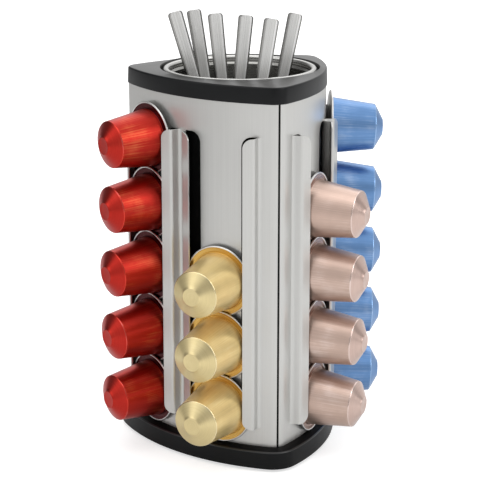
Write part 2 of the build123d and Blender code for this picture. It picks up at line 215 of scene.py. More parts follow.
CUP_FLOOR = RING_TOP - CUP_DEPTH
UPSTAND_TOP = LEDGE_Z + UPSTAND


# Node materials

class Paint:
    """A material's node tree, with a principled surface already in it."""

    def __init__(self, name):
        self.material = bpy.data.materials.new(name)
        self.material.use_nodes = True
        self.tree = self.material.node_tree
        self.tree.nodes.clear()
        output = self.tree.nodes.new("ShaderNodeOutputMaterial")
        self.surface = self.tree.nodes.new("ShaderNodeBsdfPrincipled")
        self.join(self.surface.outputs[0], output.inputs["Surface"])

    def join(self, start, end):
        self.tree.links.new(start, end)

    def fix(self, **values):
        """Set the surface's own sockets; underscores stand for spaces."""
        for key, value in values.items():
            self.surface.inputs[key.replace("_", " ")].default_value = value

    def drive(self, start, socket):
        """Lead a node's output to one of the surface's sockets."""
        self.join(start, self.surface.inputs[socket])

    def place(self, kind="UV", scale=(1.0, 1.0, 1.0)):
        """Texture coordinates, stretched by a scale."""
        source = self.tree.nodes.new("ShaderNodeTexCoord")
        mapping = self.tree.nodes.new("ShaderNodeMapping")
        mapping.inputs["Scale"].default_value = scale
        self.join(source.outputs[kind], mapping.inputs["Vector"])
        return mapping.outputs["Vector"]

    def noise(self, where, detail, scale=1.0, rough=0.5):
        """Soft noise."""
        node = self.tree.nodes.new("ShaderNodeTexNoise")
        node.inputs["Scale"].default_value = scale
        node.inputs["Detail"].default_value = detail
        node.inputs["Roughness"].default_value = rough
        self.join(where, node.inputs["Vector"])
        return node.outputs["Fac"]

    def cells(self, where, scale):
        """Distance to the middles of scattered cells."""
        node = self.tree.nodes.new("ShaderNodeTexVoronoi")
        node.inputs["Scale"].default_value = scale
        self.join(where, node.inputs["Vector"])
        return node.outputs["Distance"]

    def ramp(self, value, low, high, start=0.3, end=0.7):
        """A value from low to high while the input goes from start to end."""
        node = self.tree.nodes.new("ShaderNodeMapRange")
        node.inputs["From Min"].default_value = start
        node.inputs["From Max"].default_value = end
        node.inputs["To Min"].default_value = low
        node.inputs["To Max"].default_value = high
        self.join(value, node.inputs["Value"])
        return node.outputs["Result"]

    def colours(self, value, stops):
        """A colour ramp from (place, colour) stops."""
        node = self.tree.nodes.new("ShaderNodeValToRGB")
        elements = node.color_ramp.elements
        elements[0].position, elements[0].color = stops[0][0], (*stops[0][1], 1.0)
        elements[1].position, elements[1].color = stops[-1][0], (*stops[-1][1], 1.0)
        for where, colour in stops[1:-1]:
            made = elements.new(where)
            made.color = (*colour, 1.0)
        self.join(value, node.inputs["Fac"])
        return node.outputs["Color"]

    def math(self, how, first, second):
        """A sum or product of numbers and node outputs."""
        node = self.tree.nodes.new("ShaderNodeMath")
        node.operation = how
        for socket, value in zip(node.inputs, (first, second)):
            if isinstance(value, (int, float)):
                socket.default_value = value
            else:
                self.join(value, socket)
        return node.outputs["Value"]

    def blend(self, first, share, second):
        """A share of the first value and the rest of the second."""
        rest = self.math("MULTIPLY", second, 1.0 - share)
        return self.math("ADD", self.math("MULTIPLY", first, share), rest)

    def bump(self, height, depth):
        """Fine relief, with its depth in millimetres."""
        node = self.tree.nodes.new("ShaderNodeBump")
        node.inputs["Strength"].default_value = 1.0
        node.inputs["Distance"].default_value = depth * MM
        self.join(height, node.inputs["Height"])
        return node.outputs["Normal"]

    def grain(self, amount, turn=0.0):
        """Stretched highlights along the first texture direction."""
        self.fix(Anisotropic=amount, Anisotropic_Rotation=turn)
        tangent = self.tree.nodes.new("ShaderNodeTangent")
        tangent.direction_type = "UV_MAP"
        tangent.uv_map = "UVMap"
        self.drive(tangent.outputs["Tangent"], "Tangent")


# Noise settings, and the share that the fine noise has beside the cloudy one
FINE_NOISE = {"detail": 3.0, "rough": 0.6}
CLOUD_NOISE = {"detail": 4.0, "rough": 0.6}
BRUSH_SHARE = 0.75
BRUSH_CLOUD = (0.05, 0.03, 1.0)
TURNED_SHARE = 0.55
TURNED_CLOUD = (90.0, 90.0, 90.0)
PEBBLE_SHARE = 0.4
LACQUER_ROUGH = 0.32
DEEPER = 0.85


def brushed(name, dark, light, smooth, rough, lines=(3.2, 0.01), stretch=0.5, depth=0.0012, metal=1.0):
    """Satin metal with fine brush lines, drawn by how often they change across and along the texture."""
    paint = Paint(name)
    paint.fix(Metallic=metal)
    fine = paint.noise(paint.place(scale=(*lines, 1.0)), **FINE_NOISE)
    cloud = paint.noise(paint.place(scale=BRUSH_CLOUD), detail=3.0)
    mixed = paint.blend(fine, BRUSH_SHARE, cloud)
    paint.drive(paint.colours(mixed, [(0.3, dark), (0.7, light)]), "Base Color")
    paint.drive(paint.ramp(mixed, smooth, rough), "Roughness")
    paint.drive(paint.bump(fine, depth), "Normal")
    paint.grain(stretch)
    return paint.material


def anodised(
    name, colour, painted_glint, smooth, rough,
    lines=(2.0, 3.2), stretch=0.3, turn=0.25, depth=0.0012, metal=1.0, coat=0.14,
):
    """Coloured aluminium with fine drawn or turned lines under a thin clear lacquer; the lightest tone on
    the lines is a painted glint.
    """
    paint = Paint(name)
    paint.fix(Metallic=metal, Coat_Weight=coat, Coat_Roughness=LACQUER_ROUGH)
    fine = paint.noise(paint.place(scale=(*lines, 1.0)), **FINE_NOISE)
    cloud = paint.noise(paint.place(kind="Object", scale=TURNED_CLOUD), detail=3.0)
    mixed = paint.blend(fine, TURNED_SHARE, cloud)
    deep = tuple(DEEPER * c for c in colour)
    paint.drive(paint.colours(mixed, [(0.3, deep), (0.52, colour), (0.80, painted_glint)]), "Base Color")
    paint.drive(paint.ramp(fine, smooth, rough), "Roughness")
    paint.drive(paint.bump(fine, depth), "Normal")
    paint.grain(stretch, turn)
    return paint.material


def moulded(name, dark, light, smooth, rough, pebble=2200.0, depth=0.012, gloss=0.5):
    """Moulded plastic or rubber with a fine even skin."""
    paint = Paint(name)
    paint.fix(Specular_IOR_Level=gloss)
    skin = paint.noise(paint.place(kind="Object"), scale=pebble, detail=2.0, rough=0.55)
    cloud = paint.noise(paint.place(kind="Object"), scale=60.0, **CLOUD_NOISE)
    paint.drive(paint.colours(cloud, [(0.35, dark), (0.65, light)]), "Base Color")
    paint.drive(paint.ramp(paint.blend(skin, PEBBLE_SHARE, cloud), smooth, rough), "Roughness")
    paint.drive(paint.bump(skin, depth), "Normal")
    return paint.material


def plated(name, dark, light, smooth, rough):
    """Plain metal with a mottled surface, for screws, washers and foil."""
    paint = Paint(name)
    paint.fix(Metallic=1.0)
    cloud = paint.noise(paint.place(kind="Object"), scale=700.0, **CLOUD_NOISE)
    speck = paint.cells(paint.place(kind="Object"), scale=1600.0)
    paint.drive(paint.colours(cloud, [(0.35, dark), (0.65, light)]), "Base Color")
    paint.drive(paint.ramp(cloud, smooth, rough), "Roughness")
    paint.drive(paint.bump(speck, 0.004), "Normal")
    return paint.material


ROUND_LINES = (0.01, 3.2)
SPOON_FINISH = {"stretch": 0.3, "depth": 0.0004}

PANEL_STEEL = brushed(
    "panel_steel", (0.54, 0.538, 0.522), (0.60, 0.597, 0.58), 0.29, 0.36, stretch=0.7, metal=0.75
)
CUP_STEEL = brushed("cup_steel", (0.47, 0.467, 0.452), (0.55, 0.546, 0.53), 0.20, 0.28, ROUND_LINES)
# The cup's inside: the same steel painted darker, as painted shade inside the cup
CUP_INSIDE_SHADE = brushed(
    "cup_inside_painted_shade", (0.24, 0.237, 0.225), (0.36, 0.356, 0.34), 0.22, 0.30, ROUND_LINES
)
SPOON_STEEL = brushed(
    "spoon_steel", (0.67, 0.667, 0.652), (0.70, 0.697, 0.682), 0.24, 0.32, metal=0.3, **SPOON_FINISH
)
# Painted shade on the spoon edges; below, a painted shade strip and a painted highlight strip beside them
SPOON_EDGE_SHADE = brushed("spoon_edge_painted_shade", (0.17, 0.168, 0.16), (0.24, 0.238, 0.23), 0.22, 0.30, stretch=0.3)
SPOON_PAINTED_SHADE = brushed(
    "spoon_painted_shade", (0.38, 0.377, 0.366), (0.42, 0.417, 0.406), 0.24, 0.32, metal=0.6, **SPOON_FINISH
)
SPOON_PAINTED_GLINT = brushed(
    "spoon_painted_glint", (0.86, 0.857, 0.845), (0.90, 0.897, 0.885), 0.24, 0.32, metal=0.3, **SPOON_FINISH
)
BLACK_PLASTIC = moulded(
    "black_plastic", (0.0042, 0.0046, 0.0052), (0.0062, 0.0068, 0.0076), 0.28, 0.38, gloss=0.20
)
# The rim's top: the same black plastic, glossier and painted lighter than its sides, a painted sheen
RIM_TOP_SHEEN = moulded("rim_top_painted_sheen", (0.022, 0.022, 0.021), (0.031, 0.031, 0.030), 0.28, 0.38, gloss=0.46)
PLINTH_BLACK = moulded(
    "plinth_black", (0.0036, 0.0039, 0.0043), (0.0052, 0.0056, 0.0062), 0.30, 0.42, gloss=0.15
)
# The plinth's rounded edge: glossier and painted lighter than the wall, a painted highlight
PLINTH_EDGE_SHEEN = moulded("plinth_edge_painted_sheen", (0.010, 0.0105, 0.011), (0.014, 0.0145, 0.015), 0.26, 0.36, gloss=0.50)
INNER_BLACK = moulded(
    "inner_black", (0.0018, 0.0018, 0.0020), (0.0028, 0.0028, 0.0030), 0.40, 0.55, gloss=0.10
)
RUBBER = moulded("rubber", (0.02, 0.02, 0.02), (0.035, 0.035, 0.034), 0.65, 0.85, pebble=1500.0, depth=0.06)
WHITE_GLIDE = moulded("white_glide", (0.72, 0.72, 0.70), (0.82, 0.82, 0.80), 0.30, 0.45)
ZINC = plated("zinc", (0.46, 0.47, 0.48), (0.62, 0.62, 0.62), 0.28, 0.45)
FOIL = plated("foil", (0.58, 0.58, 0.57), (0.74, 0.74, 0.73), 0.25, 0.42)
EDGE_METAL = plated("capsule_edge", (0.68, 0.67, 0.66), (0.78, 0.77, 0.76), 0.28, 0.40)

# Each colour's drawn body, turned end and flange, with a painted glint on the lines of the first two
# The flanges' dark tones are painted shade, darker than the bodies of the same metal
CAPSULE_COLOURS = {
    "red": {
        "body": (0.42, 0.016, 0.008),
        "body_painted_glint": (0.64, 0.15, 0.055),
        "end": (0.48, 0.022, 0.014),
        "end_painted_glint": (0.58, 0.045, 0.028),
        "flange": (0.06, 0.005, 0.007),
    },
    "gold": {
        # The gold body is painted lighter than its end of the same metal: painted light
        "body": (0.85, 0.64, 0.28),
        "body_painted_glint": (0.96, 0.80, 0.44),
        "end": (0.69, 0.57, 0.30),
        "end_painted_glint": (0.79, 0.67, 0.39),
        "flange": (0.64, 0.39, 0.105),
    },
    "rose": {
        "body": (0.58, 0.42, 0.35),
        "body_painted_glint": (0.82, 0.69, 0.64),
        "end": (0.58, 0.43, 0.375),
        "end_painted_glint": (0.70, 0.56, 0.51),
        "flange": (0.36, 0.24, 0.20),
    },
    "blue": {
        "body": (0.135, 0.264, 0.505),
        "body_painted_glint": (0.45, 0.55, 0.73),
        "end": (0.14, 0.28, 0.54),
        "end_painted_glint": (0.28, 0.43, 0.67),
        "flange": (0.04, 0.09, 0.22),
    },
}
CAPSULE_METAL = {"red": 0.85, "gold": 0.5, "rose": 0.75, "blue": 1.0}
CAPSULE_COAT = {"red": 0.08, "gold": 0.04, "rose": 0.30, "blue": 0.14}
DRAWN_LINES = (170.0, 0.03)


def capsule_paint(colour):
    """A capsule's materials, in the order of the paint numbers in its profile."""
    tones = CAPSULE_COLOURS[colour]
    drawn = anodised(
        f"capsule_{colour}_body",
        tones["body"],
        tones["body_painted_glint"],
        0.30,
        0.38,
        lines=DRAWN_LINES,
        stretch=0.45,
        turn=0.0,
        depth=0.003,
        metal=CAPSULE_METAL[colour],
        coat=CAPSULE_COAT[colour],
    )
    turned = anodised(f"capsule_{colour}_end", tones["end"], tones["end_painted_glint"], 0.30, 0.38, stretch=0.75)
    flange = anodised(
        f"capsule_{colour}_flange", tones["flange"], tones["flange"], 0.24, 0.32, stretch=0.2, coat=0.0
    )
    # The shoulder ring is smoother, and also painted lighter than the end as a highlight along the edge
    bright = tuple(0.6 * c + 0.4 for c in tones["end_painted_glint"])
    shoulder = anodised(f"capsule_{colour}_shoulder", tones["end_painted_glint"], bright, 0.18, 0.24)
    return drawn, turned, flange, EDGE_METAL, shoulder


CAPSULE_PAINT = {colour: capsule_paint(colour) for colour in CAPSULE_COLOURS}


# Mesh building

class Skin:
    """Vertices and faces with texture places and material numbers, in millimetres."""

    def __init__(self):
        self.verts = []
        self.faces = []
        self.places = []
        self.paints = []

    def point(self, place):
        """Add a vertex; returns its number."""
        self.verts.append(Vector(place))
        return len(self.verts) - 1

    def face(self, corners, places, paint=0):
        """Add a face, with a texture place for each corner."""
        self.faces.append(corners)
        self.places.append(places)
        self.paints.append(paint)

    def rings(self, rings, across, along, paints=None, loop=False):
        """Join rings of points with quads; a ring of one point closes the skin to a tip."""
        made = [[self.point(p) for p in ring] for ring in rings]
        pairs = list(zip(range(len(made) - 1), range(1, len(made))))
        if loop:
            pairs.append((len(made) - 1, 0))
        for number, (a, b) in enumerate(pairs):
            paint = paints[number] if paints else 0
            v0, v1 = along[number], along[number + 1]
            count = max(len(made[a]), len(made[b]))
            for i in range(count):
                j = (i + 1) % count
                u0, u1 = across[i], across[i + 1]
                if len(made[a]) == 1:
                    self.face((made[a][0], made[b][j], made[b][i]), ((u0, v0), (u1, v1), (u0, v1)), paint)
                elif len(made[b]) == 1:
                    self.face((made[a][i], made[a][j], made[b][0]), ((u0, v0), (u1, v0), (u0, v1)), paint)
                else:
                    corners = (made[a][i], made[a][j], made[b][j], made[b][i])
                    self.face(corners, ((u0, v0), (u1, v0), (u1, v1), (u0, v1)), paint)

    def build(self, name, materials, place=None, sharp=40.0, closed=True):
        """The finished object, smooth except at sharp edges."""
        mesh = bpy.data.meshes.new(name)
        at = place or Matrix.Identity(4)
        mesh.from_pydata([(at @ v) * MM for v in self.verts], [], self.faces)
        layer = mesh.uv_layers.new(name="UVMap")
        for face, places, paint in zip(mesh.polygons, self.places, self.paints):
            face.material_index = paint
            for loop, where in zip(face.loop_indices, places):
                layer.data[loop].uv = where
        if closed:
            work = bmesh.new()
            work.from_mesh(mesh)
            bmesh.ops.recalc_face_normals(work, faces=work.faces)
            work.to_mesh(mesh)
            work.free()
        for material in materials:
            mesh.materials.append(material)
        mesh.shade_smooth()
        mesh.set_sharp_from_angle(angle=radians(sharp))
        made = bpy.data.objects.new(name, mesh)
        bpy.context.scene.collection.objects.link(made)
        return made


def settle(piece, body, slot, *nodes):
    """The piece moves with a body and stands for some nodes, which it hides; the slot is not used."""
    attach(piece, body)
    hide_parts(*nodes)


def soften(piece, width, angle):
    """Round a piece's sharp edges a little."""
    bevel = piece.modifiers.new("edges", "BEVEL")
    bevel.width = width * MM
    bevel.segments = 2
    bevel.limit_method = "ANGLE"
    bevel.angle_limit = radians(angle)
    bevel.harden_normals = True


def lengths(points):
    """Running length along a line of points."""
    total = [0.0]
    for a, b in zip(points, points[1:]):
        total.append(total[-1] + (Vector(b) - Vector(a)).length)
    return total


def rounded(points, radii, steps=ROUND_STEPS):
    """A flat line of points whose inner corners are rounded by the given radii."""
    line = [Vector(points[0])]
    for before, corner, after, radius in zip(points, points[1:], points[2:], radii):
        corner = Vector(corner)
        back = (Vector(before) - corner).normalized()
        on = (Vector(after) - corner).normalized()
        if radius <= 0:
            line.append(corner)
            continue
        half = acos(max(-1.0, min(1.0, back.dot(on)))) / 2
        middle = corner + (back + on).normalized() * (radius / sin(half))
        first = corner + back * (radius / tan(half)) - middle
        last = corner + on * (radius / tan(half)) - middle
        sweep = acos(max(-1.0, min(1.0, first.normalized().dot(last.normalized()))))
        for k in range(steps + 1):
            t = k / steps
            arm = (first * sin((1 - t) * sweep) + last * sin(t * sweep)) / sin(sweep)
            line.append(middle + arm)
    line.append(Vector(points[-1]))
    return line


def lathe(skin, profile, segments, scale, paints=None, loop=False):
    """Turn a profile of (radius, height) points about Z; the scale is the texture's width all round."""
    angles = [2 * pi * k / segments for k in range(segments)]
    rings = []
    for radius, height in profile:
        if radius < TINY:
            rings.append([(0.0, 0.0, height)])
        else:
            rings.append([(radius * cos(a), radius * sin(a), height) for a in angles])
    across = [scale * k / segments for k in range(segments + 1)]
    closed = list(profile) + [profile[0]] if loop else profile
    skin.rings(rings, across, lengths(closed), paints, loop)


# The three-sided outline

SIDE_STEPS = 40
CORNER_STEPS = 14


def turn_flat(point, angle):
    """A flat point turned about the tower's axis."""
    a = radians(angle)
    return (point[0] * cos(a) - point[1] * sin(a), point[0] * sin(a) + point[1] * cos(a))


def outline(offset):
    """Points round the tower's outline, offset outward from the panels' outer faces."""
    points = []
    for k in range(3):
        for i in range(SIDE_STEPS):
            angle = radians(PANEL_END_ANGLE * (2 * i / SIDE_STEPS - 1))
            side = SIDE_RADIUS + offset
            points.append(turn_flat((side * sin(angle), ARC_CENTRE - side * cos(angle)), k * TURN))
        start = PANEL_END_ANGLE - 90.0
        sweep = TURN - 2 * PANEL_END_ANGLE
        for i in range(CORNER_STEPS):
            angle = radians(start + sweep * i / CORNER_STEPS)
            radius = CORNER_RADIUS + offset
            place = (CORNER_X + radius * cos(angle), CORNER_Y + radius * sin(angle))
            points.append(turn_flat(place, k * TURN))
    return points


def level_ring(kind, size, height):
    """One ring of a plinth or cap: the outline with an offset, or a circle at the same bearings."""
    if kind == "outline":
        return [(x, y, height) for x, y in outline(size)]
    return [(x / hypot(x, y) * size, y / hypot(x, y) * size, height) for x, y in outline(0.0)]


def stack(name, levels, materials, paints):
    """A closed piece from a list of rings that runs round its section."""
    skin = Skin()
    rings = [level_ring(*level) for level in levels]
    round_trip = lengths([ring[0] for ring in rings] + [rings[0][0]])
    across = lengths([(x, y, 0.0) for x, y in outline(0.0) + outline(0.0)[:1]])
    skin.rings(rings, across, round_trip, paints, loop=True)
    return skin.build(name, materials)


def base_piece():
    """The plinth."""
    section = rounded(
        [
            (BASE_LEDGE - BASE_FOOT_LAND, BASE_LIFT),
            (BASE_LEDGE, BASE_LIFT),
            (BASE_LEDGE - BASE_DRAFT, BASE_WALL_TOP),
            (LEDGE_RUN_OUT, LEDGE_Z - LEDGE_FALL),
            (-SHEET, LEDGE_Z),
        ],
        [BASE_FOOT_ROUND, LEDGE_ROUND, 0.0],
    )
    levels = [("outline", p[0], p[1]) for p in section]
    levels += [
        ("outline", -SHEET, UPSTAND_TOP),
        ("circle", WELL_RADIUS, UPSTAND_TOP),
        ("circle", WELL_RADIUS, WELL_FLOOR),
        ("circle", HUB_HOLE, WELL_FLOOR),
        ("circle", HUB_HOLE, POCKET_TOP),
        ("outline", BASE_LEDGE - BASE_SKIRT, POCKET_TOP),
        ("outline", BASE_LEDGE - BASE_SKIRT, BASE_LIFT),
    ]
    # The rounded edge takes the painted highlight
    wall, ledge, edge = range(3)
    ledge_start = len(section) - 3
    paints = [wall] * len(levels)
    for k in range(ledge_start - ROUND_STEPS, ledge_start):
        paints[k] = edge
    for k in range(ledge_start, len(section) + 1):
        paints[k] = ledge
    made = stack("plinth", levels, [PLINTH_BLACK, INNER_BLACK, PLINTH_EDGE_SHEEN], paints)
    settle(made, "tower", "black_plastic", "base")


def rim_piece():
    """The cap round the cup."""
    section = rounded(
        [
            (RIM_OVERHANG - RIM_FOOT_LAND, RIM_LOW),
            (RIM_OVERHANG, RIM_LOW),
            (RIM_OVERHANG_TOP, RIM_TOP),
            (-RIM_TOP_RUN, RIM_TOP + RIM_TOP_RISE),
        ],
        [RIM_FOOT_ROUND, RIM_ROUND],
    )[:-1]
    levels = [("outline", p[0], p[1]) for p in section]
    hole = CUP_RADIUS + HOLE_GAP
    levels += [
        ("circle", WELL_RADIUS + RIM_LAND, CROWN_TOP),
        ("circle", WELL_RADIUS + HOLE_EDGE_CUT, CROWN_TOP - HOLE_EDGE_CUT),
        ("circle", WELL_RADIUS, CROWN_TOP - HOLE_EDGE_DROP),
        ("circle", WELL_RADIUS, RING_FLOOR),
        ("circle", hole, RING_FLOOR),
        ("circle", hole, PANEL_TOP),
        ("outline", 0.0, PANEL_TOP),
        ("outline", 0.0, RIM_LOW),
    ]
    # The top takes the painted sheen
    side, top = range(2)
    paints = [top if level[2] > RIM_TOP else side for level in levels]
    paints[len(section) - 1] = top
    made = stack("rim_cap", levels, [BLACK_PLASTIC, RIM_TOP_SHEEN], paints)
    settle(made, "tower", "black_plastic", "top_rim")


def well_piece():
    """The black tube inside the panels."""
    skin = Skin()
    inner = WELL_RADIUS - WELL_WALL
    profile = [(WELL_RADIUS, WELL_FLOOR), (WELL_RADIUS, PANEL_TOP), (inner, PANEL_TOP), (inner, WELL_FLOOR)]
    lathe(skin, profile, WELL_SEGMENTS, 2 * pi * WELL_RADIUS, loop=True)
    made = skin.build("well", [INNER_BLACK])
    settle(made, "tower", "inner_black", "well_tube")


def cup_piece():
    """The steel cup with its rolled ring, stepped collar and rounded floor."""
    collar_inner = CUP_RADIUS - CUP_WALL
    wall_outer = CUP_RADIUS - CUP_STEP
    wall_inner = wall_outer - CUP_WALL
    ring_z = RING_TOP - RING_TUBE
    ring_middle = RING_RADIUS - RING_TUBE
    step_top = RING_FLOOR - CUP_STEP_BELOW
    step_low = step_top - CUP_STEP
    under = CUP_FLOOR - CUP_WALL
    outside = rounded(
        [
            (0, under),
            (wall_outer, under),
            (wall_outer, step_low),
            (CUP_RADIUS, step_top),
            (CUP_RADIUS, ring_z - CUP_TUCK),
        ],
        [CUP_FLOOR_ROUND + CUP_WALL, CUP_STEP_ROUND, CUP_STEP_ROUND],
    )
    bead = []
    for k in range(BEAD_STEPS + 1):
        a = BEAD_START + (BEAD_END - BEAD_START) * k / BEAD_STEPS
        bead.append(Vector((ring_middle + RING_TUBE * cos(a), ring_z + RING_TUBE * sin(a))))
    inside = rounded(
        [
            (collar_inner, ring_z - CUP_TUCK_IN),
            (collar_inner, step_top),
            (wall_inner, step_low),
            (wall_inner, CUP_FLOOR),
            (0, CUP_FLOOR),
        ],
        [CUP_STEP_ROUND_IN, CUP_STEP_ROUND_IN, CUP_FLOOR_ROUND],
    )
    skin = Skin()
    profile = [tuple(p) for p in outside + bead + inside]
    # The inside takes the painted shade
    bright, painted_shade = range(2)
    paints = [bright] * len(outside + bead) + [painted_shade] * len(inside)
    lathe(skin, profile, CUP_SEGMENTS, 2 * pi * CUP_RADIUS, paints)
    made = skin.build("cup", [CUP_STEEL, CUP_INSIDE_SHADE])
    settle(made, "cup", "cup_steel", "spoon_cup")


# Panels with their rails

def column_place(side, along, out, height):
    """A point at a front-panel column: along the sheet, outward from it, and up."""
    a = radians(side * COLUMN_ANGLE)
    reach = SIDE_RADIUS + out
    return Vector((reach * sin(a) + along * cos(a), ARC_CENTRE - reach * cos(a) + along * sin(a), height))


def sheet_height(along):
    """How far the curved panel stands from the column's tangent plane."""
    return sqrt(SIDE_RADIUS**2 - along**2) - SIDE_RADIUS


def corner_cut(distance, radius):
    """How much a rounded corner shortens an edge at a distance inside it."""
    if distance >= radius:
        return 0.0
    return radius - sqrt(radius**2 - (radius - distance) ** 2)


def spaced(low, high, radius, count):
    """Places from low to high that follow a rounded corner closely."""
    places = [low + radius * (1 - cos(pi / 2 * k / count)) for k in range(count)]
    return [p for p in places if p < high - SHORTEST_CUT] + [high]


def lip_height(along):
    """How far the tilted lip's outer face stands from the column's tangent plane."""
    return LIP_LEVEL + (FLANGE_RADIUS - along) * tan(radians(LIP_TILT))


RAIL_PATH = rounded(
    [
        (RISER_OUTER + 2 * ROOT_BEND, sheet_height(RISER_OUTER + 2 * ROOT_BEND)),
        (RISER_OUTER, sheet_height(RISER_OUTER)),
        (RISER_OUTER, lip_height(RISER_OUTER)),
        (LIP_FREE, lip_height(LIP_FREE)),
    ],
    [ROOT_BEND, BEND + SHEET],
)[1:-1]
RAIL_ROOT = RAIL_PATH[0][0]


class Panel:
    """One bowed sheet, drawn as the front panel."""

    def __init__(self):
        self.skin = Skin()
        self.lines = []
        self.roots = []

    def line(self, place, across, low, high):
        """An upright line of four points where the sheet may be cut."""
        points = [self.skin.point((place[0], place[1], z)) for z in (LEDGE_Z, low, high, PANEL_TOP)]
        self.lines.append((points, across, (LEDGE_Z, low, high, PANEL_TOP)))

    def rail(self, side, hand, root):
        """The riser and lip that grow from the sheet at its root line."""
        points, across, heights = root
        before = (points[1], points[2])
        spans = (heights[1], heights[2])
        lip = list(reversed(spaced(LIP_FREE, RAIL_PATH[-1][0], LIP_CORNER, LIP_CUTS)))[1:]
        path = [tuple(p) for p in RAIL_PATH[1:]] + [(a, lip_height(a)) for a in lip]
        last = RAIL_PATH[0]
        run = across
        for along, out in path:
            cut = corner_cut(along - LIP_FREE, LIP_CORNER)
            low, high = RAIL_LOW + cut, RAIL_TOP - cut
            now = tuple(self.skin.point(column_place(side, hand * along, out, z)) for z in (low, high))
            step = run - hand * hypot(along - last[0], out - last[1])
            corners = (before[0], now[0], now[1], before[1])
            places = ((run, spans[0]), (step, low), (step, high), (run, spans[1]))
            if hand > 0:
                corners, places = corners[::-1], places[::-1]
            self.skin.face(corners, places)
            before, spans, run, last = now, (low, high), step, (along, out)

    def build(self, name, turn):
        """The finished sheet, turned to its side of the tower."""
        spread = self.layout()
        for (a, u0, h0), (b, u1, h1), is_open in zip(self.lines, self.lines[1:], spread):
            for k in range(3):
                if is_open and k == 1:
                    continue
                corners = (a[k], b[k], b[k + 1], a[k + 1])
                places = ((u0, h0[k]), (u1, h1[k]), (u1, h1[k + 1]), (u0, h0[k + 1]))
                self.skin.face(corners, places)
        for side, hand, index in self.roots:
            self.rail(side, hand, self.lines[index])
        made = self.skin.build(name, [PANEL_STEEL], Matrix.Rotation(radians(turn), 4, "Z"), closed=False)
        thick = made.modifiers.new("sheet", "SOLIDIFY")
        thick.thickness = SHEET * MM
        thick.offset = -1.0
        thick.use_even_offset = True
        soften(made, SHEET_EASE, angle=50.0)
        return made

    def layout(self):
        """Put down the upright lines from left to right; returns which gaps between them are slots."""
        marks = []
        seam_angle = degrees(asin(SEAM / 2 / CORNER_RADIUS))
        end = PANEL_END_ANGLE - 90.0
        sweep = CORNER_BEARING - seam_angle - end
        corner = []
        for k in range(1, SEAM_STEPS + 1):
            bend = sweep * k / SEAM_STEPS
            angle = radians(end + bend)
            place = (CORNER_X + CORNER_RADIUS * cos(angle), CORNER_Y + CORNER_RADIUS * sin(angle))
            across = radians(PANEL_END_ANGLE) * SIDE_RADIUS + radians(bend) * CORNER_RADIUS
            corner.append((place, across))
        for place, across in reversed(corner):
            marks.append(((-place[0], place[1]), -across, None))
        for side in (-1, 1):
            for along, tag in self.column_marks():
                angle = radians(side * COLUMN_ANGLE) + asin(along / SIDE_RADIUS)
                marks.append((self.on_side(angle), angle * SIDE_RADIUS, (side, along, tag)))
            if side < 0:
                marks.append((self.on_side(0.0), 0.0, None))
        for sign in (-1, 1):
            angle = sign * radians(PANEL_END_ANGLE)
            marks.append((self.on_side(angle), angle * SIDE_RADIUS, None))
        for place, across in corner:
            marks.append((place, across, None))
        marks.sort(key=lambda m: m[1])
        spread = []
        for index, (place, across, info) in enumerate(marks):
            cut = 0.0
            is_open = False
            if info:
                side, along, tag = info
                cut = corner_cut(max(0.0, abs(along) - SLOT_EDGE), SLOT_CORNER)
                is_open = tag == "slot"
                if abs(abs(along) - RAIL_ROOT) < TINY:
                    self.roots.append((side, 1 if along > 0 else -1, index))
            self.line(place, across, RAIL_LOW + cut, RAIL_TOP - cut)
            spread.append(is_open)
        return spread

    def on_side(self, angle):
        """A flat point on the bowed side at an angle from its middle."""
        return (SIDE_RADIUS * sin(angle), ARC_CENTRE - SIDE_RADIUS * cos(angle))

    def column_marks(self):
        """Places across one column, each with what follows it on the right: sheet or slot."""
        cuts = spaced(SLOT_EDGE, SLOT_EDGE + SLOT_CORNER, SLOT_CORNER, SLOT_CUTS)
        cuts += [RISER_INNER - ROOT_MARK, RAIL_ROOT]
        left = [(-a, "slot") for a in reversed(cuts)]
        left[-1] = (left[-1][0], "sheet")
        middle = [(SLOT_EDGE * k / MIDDLE_CUTS, "sheet") for k in range(1 - MIDDLE_CUTS, MIDDLE_CUTS)]
        right = [(a, "slot") for a in cuts]
        right[-1] = (right[-1][0], "sheet")
        return left + middle + right


def panel_pieces():
    """The three steel sheets."""
    for k, where in enumerate(("front", "right", "back")):
        made = Panel().build(f"sheet_{where}", k * TURN)
        settle(made, "tower", "panel_steel", f"panel_{where}")


# Capsules

# (radius, height) points at the flange's back, on its grooved face, at the body's foot and on the nub
FLANGE_BACK = [(17.4, 0.3), (17.5, 0.05)]
FLANGE_FACE = [
    (17.65, 0.86),
    (17.35, 0.80),
    (16.4, 0.82),
    (15.7, 0.84),
    (15.45, 0.76),
    (15.2, 0.66),
    (14.95, 0.74),
]
BODY_FOOT = [(14.82, 1.05), (14.74, 1.6)]
CONE_TOP = (NUB_RADIUS + NUB_SKIRT, CAPSULE_LENGTH - NUB_STEP - NUB_SKIRT_DROP)
NUB_SHAPE = [
    (NUB_RADIUS + 0.2, CAPSULE_LENGTH - NUB_STEP),
    (NUB_RADIUS + 0.05, CAPSULE_LENGTH - NUB_STEP / 2),
    (NUB_RADIUS - 0.15, CAPSULE_LENGTH - 0.03),
    (NUB_RADIUS - 0.45, CAPSULE_LENGTH),
    (NUB_RADIUS - 0.9, CAPSULE_LENGTH - 0.05),
    (NUB_RADIUS - 1.4, CAPSULE_LENGTH - 0.1),
    (1.2, CAPSULE_LENGTH - 0.12),
    (0.0, CAPSULE_LENGTH - 0.12),
]


